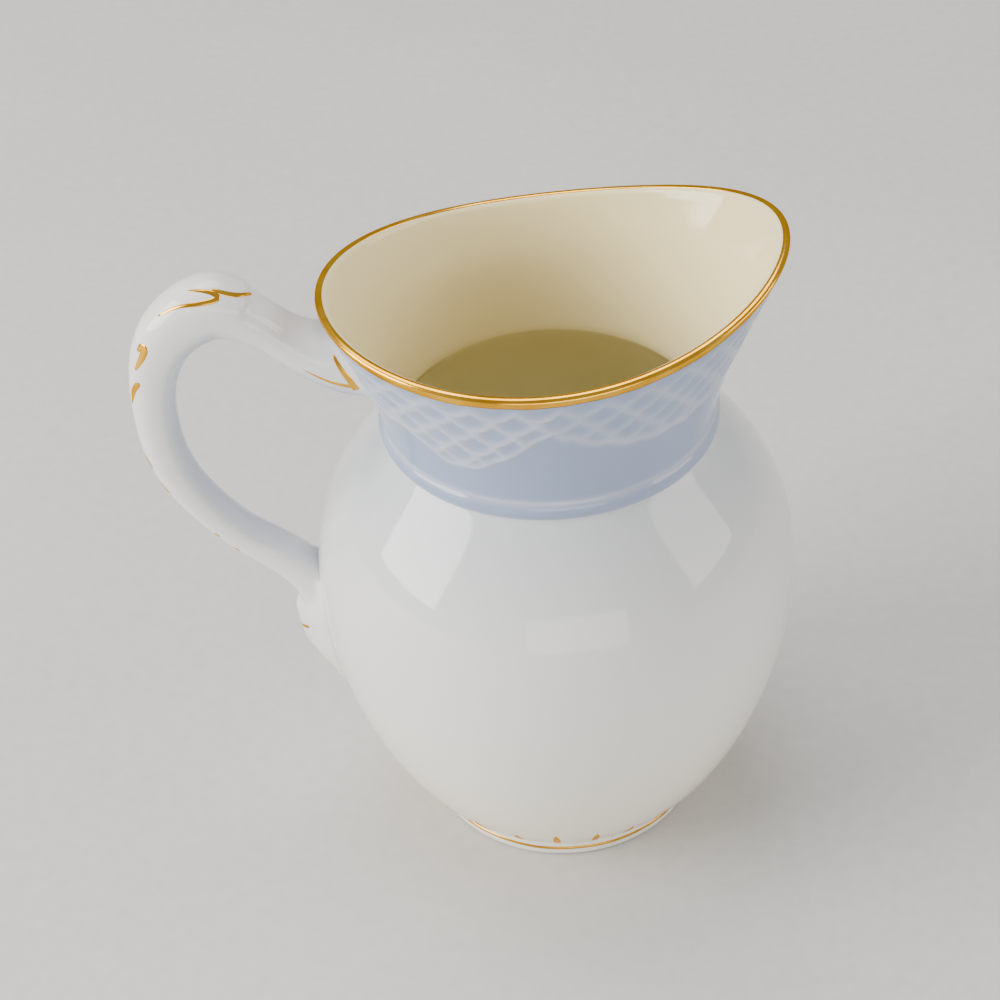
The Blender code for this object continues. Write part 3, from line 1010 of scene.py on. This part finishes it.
# %% [markdown]
# ## Gold brush strokes
#
# The handle's leaves are picked out with a few strokes of gold, and short rays stand round the bottom
# of the belly. A stroke is a thin ribbon: its middle line is drawn over the surface, each point of it
# is dropped onto the surface, and its width swells and tapers as a brush's does.

# %% Ribbons on a surface
def surface_tree(piece):
    """A piece's faces, sorted so that the nearest place on them is found fast."""
    mesh = piece.data
    corners = [vertex.co for vertex in mesh.vertices]
    return BVHTree.FromPolygons(corners, [list(face.vertices) for face in mesh.polygons])


def through(points, count):
    """A smooth line through points (Catmull-Rom), at an even count of steps."""
    points = np.asarray(points, float)
    padded = np.concatenate([2 * points[:1] - points[1:2], points, 2 * points[-1:] - points[-2:-1]])
    line = []
    for step in np.linspace(0, len(points) - 1, count):
        k = min(int(step), len(points) - 2)
        t = step - k
        a, b, c, d = padded[k:k + 4]
        bend = (2 * a - 5 * b + 4 * c - d) * t * t + (3 * b - a - 3 * c + d) * t ** 3
        line.append(0.5 * (2 * b + (c - a) * t + bend))
    return np.stack(line)


# Across as a share of half the width, and up from the surface in millimetres.
RIBBON = ((-1, -0.06), (-0.92, 0.02), (-0.45, 0.05), (0, 0.055), (0.45, 0.05), (0.92, 0.02), (1, -0.06))
RIBBON_SUNK = 0.12 * MM  # how deep its back lies in the glaze
RIBBON_BACK = 0.4  # half the width of its back, as a share of the ribbon's


def ribbon_rings(tree, line, widths):
    """Closed rings of a ribbon that lies on the surface of tree. line is world points near the surface."""
    ahead = np.gradient(line, axis=0)
    rings = []
    for point, way, width in zip(line, ahead, widths):
        place, normal, _, _ = tree.find_nearest(Vector(point))
        side = Vector(way).cross(normal).normalized()
        top = []
        for across, lift in RIBBON:
            spot, up, _, _ = tree.find_nearest(place + side * across * width / 2)
            top.append(spot + up * lift * MM)
        base = place - normal * RIBBON_SUNK
        back = side * width * RIBBON_BACK
        rings.append(top + [base + back, base - back])
    return rings


def brush_widths(count, widest, start, end):
    """A stroke's width along its length: quick swell, long taper."""
    share = np.linspace(0, 1, count)
    swell = np.sin(np.pi * share ** 0.8)
    return widest * np.clip(start * (1 - share) + end * share + (1 - end) * swell, 0.05, 1)


def stroke_piece(name, strokes):
    mesh = tubes_to_mesh(name, strokes)
    mesh.materials.append(gold)
    mesh.shade_smooth()
    return placed(name, mesh)


# %% Strokes on the handle
# Width in millimetres, the share of it at each end, and points (x, z) in the plane of the loop.
Stroke = namedtuple("Stroke", "width start end points")
STROKES = [
    Stroke(1.15, 0.2, 0.3, [
        (-60.0, 119.6), (-57.6, 119.3), (-55.6, 118.5), (-55.0, 117.6),
        (-55.8, 116.9), (-58.4, 116.5), (-62.0, 116.3), (-65.5, 115.0),
    ]),
    Stroke(1.15, 0.2, 0.5, [
        (-56.0, 119.5), (-54.6, 118.8), (-52.8, 118.1), (-51.0, 117.9), (-49.9, 118.3),
    ]),
    Stroke(1.5, 0.4, 0.3, [
        (-70.0, 108.2), (-69.2, 108.8), (-68.6, 108.2), (-69.2, 106.8), (-70.1, 105.4), (-70.9, 104.3),
    ]),
    Stroke(1.2, 0.6, 0.3, [(-70.6, 101.4), (-71.9, 100.0), (-72.8, 97.5)]),
    Stroke(0.9, 0.5, 0.3, [(-72.4, 86.5), (-71.8, 84.5), (-71.2, 82.8)]),
    Stroke(0.8, 0.5, 0.3, [(-70.4, 79.6), (-69.6, 78.0), (-68.8, 76.8)]),
    Stroke(0.8, 0.5, 0.3, [(-62.6, 66.0), (-61.6, 65.0)]),
    Stroke(0.8, 0.5, 0.3, [(-59.0, 63.0), (-58.0, 62.2)]),
    Stroke(0.7, 0.8, 0.3, [(-48.9, 42.5), (-47.0, 42.2)]),
    Stroke(1.6, 0.3, 0.9, [(-36.6, 103.8), (-35.5, 100.9), (-34.1, 98.2), (-33.1, 96.1)]),
    Stroke(0.9, 0.1, 0.9, [(-42.4, 101.6), (-39.7, 99.6), (-36.7, 97.8), (-33.6, 96.7)]),
]
SLANT = Vector((-0.05, -0.79, 0.61)).normalized()  # from the loop's plane out to its near face
CAST = 30 * MM  # how far out the drop onto the surface starts
NEAR_FACE = 5 * MM  # where the search starts if the drop misses
CREST = 110  # millimetres up: above it, the far side's strokes sit lower
FAR_DROP = 2.5  # millimetres


def carried_out(tree, x, z, side):
    """The point of the loop's plane at x and z, carried sideways and up onto the handle's face."""
    slant = Vector((SLANT.x, SLANT.y * side, SLANT.z))
    start = Vector((axis_x + x * MM, 0, z * MM))
    place, _, _, _ = tree.ray_cast(start + slant * CAST, -slant)
    return place if place is not None else tree.find_nearest(start + slant * NEAR_FACE)[0]


handle_tree = surface_tree(handle)
handle_strokes = []
for side in (1, -1):
    for stroke in STROKES:
        count = 6 + 5 * len(stroke.points)
        drawn = through(stroke.points, count)
        if side < 0:
            drawn = [(x, z - FAR_DROP * (z > CREST)) for x, z in drawn]
        spots = [carried_out(handle_tree, x, z, side) for x, z in drawn]
        widths = brush_widths(count, stroke.width * MM, stroke.start, stroke.end)
        handle_strokes.append(ribbon_rings(handle_tree, np.array(spots), widths))
stroke_piece("handle_gold_strokes", handle_strokes)
print(len(handle_strokes), "gold strokes on the handle")

# %% Rays round the bottom of the belly
RAYS = 27
FIRST_RAY = math.radians(8.9)
RAY_WIDTH = 1.5 * MM
RAY_BOTTOM, RAY_TOP = 6.0 * MM, 12.6 * MM
RAY_STEPS = 12
UNEVEN_TURN, UNEVEN_TOP = 0.012, 1.2 * MM  # radians and height by which a painter's rays stray
jug_tree = surface_tree(jug)
ray_strokes = []
for k in range(RAYS):
    turn = FIRST_RAY + 2 * np.pi * k / RAYS + UNEVEN_TURN * math.sin(5.1 * k)
    top = RAY_TOP + UNEVEN_TOP * math.sin(2.3 * k + 1)
    z = np.linspace(RAY_BOTTOM, top, RAY_STEPS)
    radius = belly_radius(z)
    line = np.stack([axis_x + radius * np.cos(turn), radius * np.sin(turn), z], -1)
    widths = RAY_WIDTH * np.sin(np.pi * np.linspace(0.12, 0.97, RAY_STEPS)) ** 0.8
    ray_strokes.append(ribbon_rings(jug_tree, line, widths))
stroke_piece("belly_gold_rays", ray_strokes)
print(RAYS, "gold rays")

# %% [markdown]
# ## Floor, light and camera
#
# The jug stands on a plain pale floor. A large soft lamp on the left does a window's work and lays a
# broad highlight on the shoulder. A weaker one on the right opens the shadows, a low one in front
# lights the underside of the belly, and one overhead lights the lip and the inside. An even, weak sky
# fills in the rest.

# %% Floor
def pale_floor():
    finish = Finish("pale_floor")
    grain = finish.noise(3, 4.0)
    cloud = finish.noise(160)
    tone = grain * 0.5 + cloud * 0.5
    shade, light = rgb(0.60, 0.59, 0.57), rgb(0.66, 0.65, 0.63)
    base = tone.smooth(0.3, 0.7).mix(shade, light)
    return finish.set(Base_Color=base, Roughness=0.55 + grain * 0.1, Normal=finish.bump(grain, 0.05, 0.15))


FLOOR_HALF = 3.0
floor_mesh = bpy.data.meshes.new("floor")
corners = [(FLOOR_HALF * x, FLOOR_HALF * y, 0) for x, y in ((-1, -1), (1, -1), (1, 1), (-1, 1))]
floor_mesh.from_pydata(corners, [], [(0, 1, 2, 3)])
floor_mesh.materials.append(pale_floor())
floor = bpy.data.objects.new("floor", floor_mesh)
bpy.context.scene.collection.objects.link(floor)

# %% Lights
def lamp(name, place, aim, size, watts, color):
    """A soft rectangular lamp at place, turned to aim."""
    light = bpy.data.lights.new(name, "AREA")
    light.shape = "RECTANGLE"
    light.size, light.size_y = size
    light.energy = watts
    light.color = color
    made = bpy.data.objects.new(name, light)
    made.location = place
    made.rotation_euler = (Vector(aim) - Vector(place)).to_track_quat("-Z", "Y").to_euler()
    bpy.context.scene.collection.objects.link(made)


lamp("window", (-1.00, -0.22, 0.52), (0, 0, 0.07), (0.75, 0.70), 19.0, (1.0, 0.99, 0.96))
lamp("fill", (1.00, -0.25, 0.45), (0, 0, 0.07), (0.60, 0.55), 4.0, (1.0, 0.96, 0.90))
lamp("front", (0.10, -1.10, 0.16), (0, 0, 0.04), (0.90, 0.45), 4.0, (1.0, 0.96, 0.87))
lamp("top", (-0.15, 0.35, 1.10), (0, 0, 0.08), (0.8, 0.6), 8.0, (1.0, 0.97, 0.92))
world = bpy.data.worlds.new("studio")
bpy.context.scene.world = world
world.use_nodes = True
sky = world.node_tree.nodes["Background"]
sky.inputs["Color"].default_value = rgb(0.92, 0.95, 1.0)
sky.inputs["Strength"].default_value = 0.50
print("lamps:", [light.name for light in bpy.data.lights])

# %% Camera
EYE = Vector((axis_x - 0.02007, -0.32271, 0.32806))
AIM = Vector((axis_x - 0.00980, 0.0, 0.06890))
ROLL = math.radians(-3.62)
LENS = 80.8  # millimetres, for a sensor 36 mm wide

camera = bpy.data.objects.new("camera", bpy.data.cameras.new("camera"))
camera.data.lens = LENS
camera.data.sensor_width = 36
camera.data.clip_start = 0.01
turned_to = (AIM - EYE).to_track_quat("-Z", "Y").to_matrix().to_4x4()
camera.matrix_world = Matrix.Translation(EYE) @ turned_to @ Matrix.Rotation(ROLL, 4, "Z")
bpy.context.scene.collection.objects.link(camera)
bpy.context.scene.camera = camera
print("camera stands", round((EYE - AIM).length, 3), "m from what it looks at")
